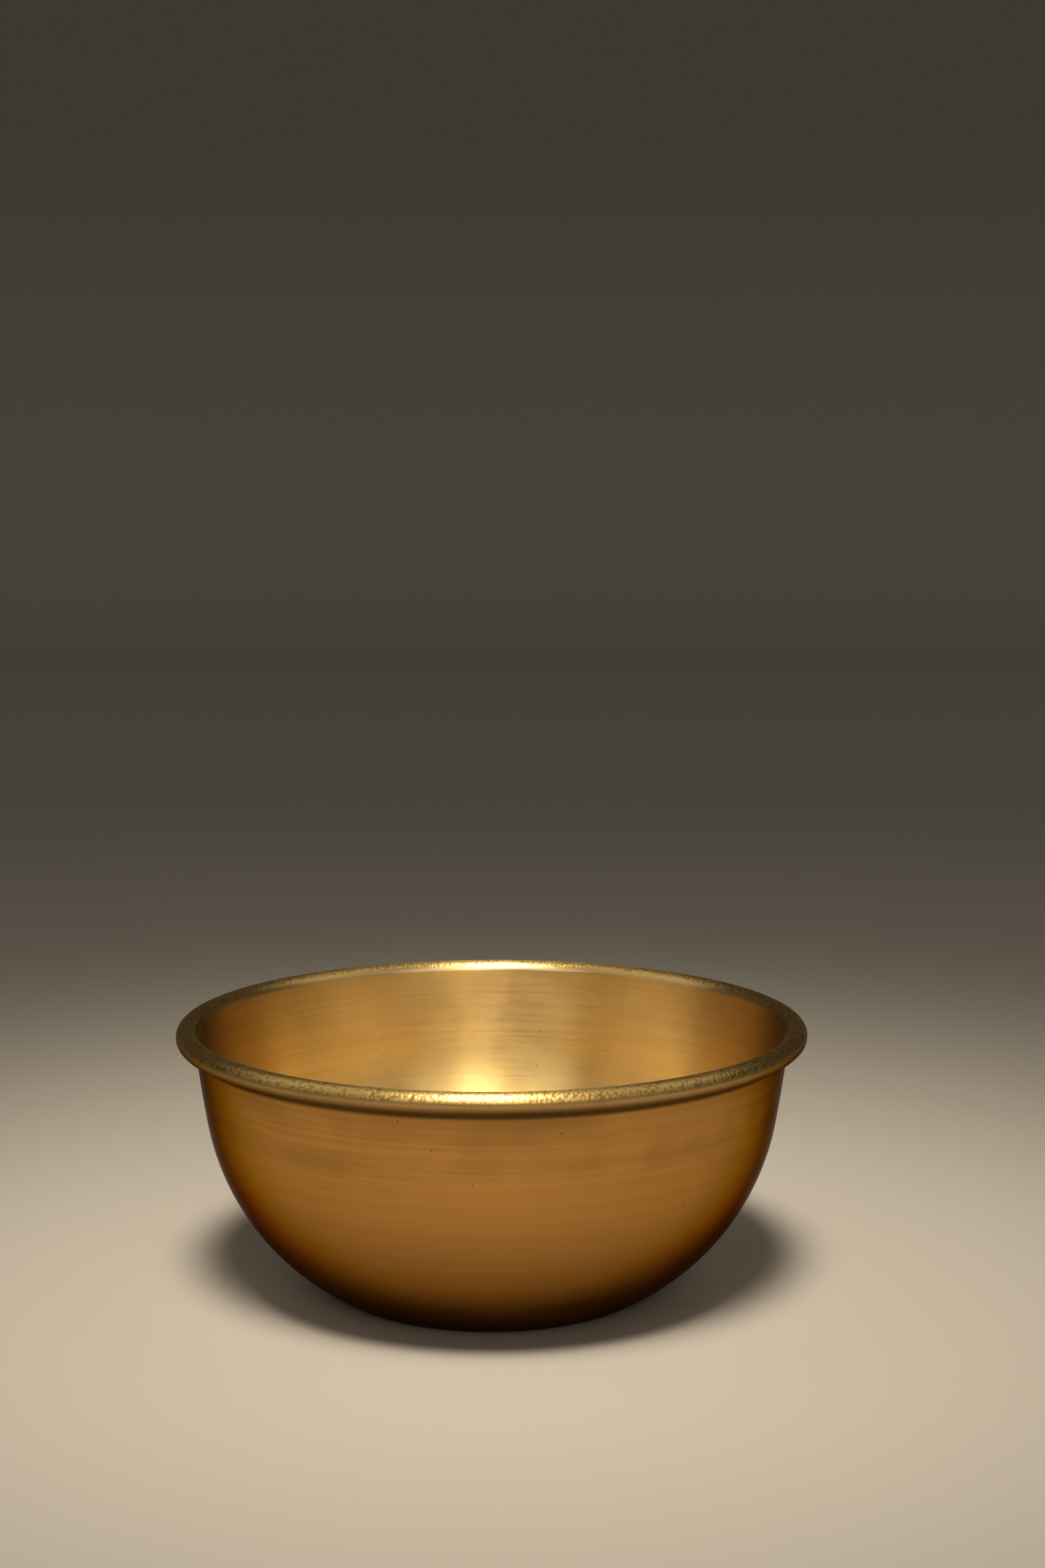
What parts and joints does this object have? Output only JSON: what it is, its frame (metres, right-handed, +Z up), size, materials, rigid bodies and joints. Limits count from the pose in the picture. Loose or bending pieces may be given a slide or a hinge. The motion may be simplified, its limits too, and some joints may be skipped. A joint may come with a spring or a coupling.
{
  "type": "shaving bowl",
  "caption": "Round spun-brass bowl with a flat base, steep curved sides and a rim rolled outward over a wire, for working up shaving lather.",
  "frame": {"origin": "centre of the base, on the plane that the bowl stands on", "axes": "+Z up along the bowl's axis, out of its mouth; the bowl is round, so X and Y are any two horizontal directions"},
  "size_m": [0.1, 0.1, 0.0429],
  "materials": {
    "spun_brass": "polished, with fine brushed lines around the wall and orange-peel dimples on the roll of the rim",
    "wire_brass": "drawn wire, dull, hidden inside the roll of the rim"
  },
  "bodies": {
    "root": {"bowl_shell": "spun_brass", "rim_wire": "wire_brass"}
  },
  "joints": []
}
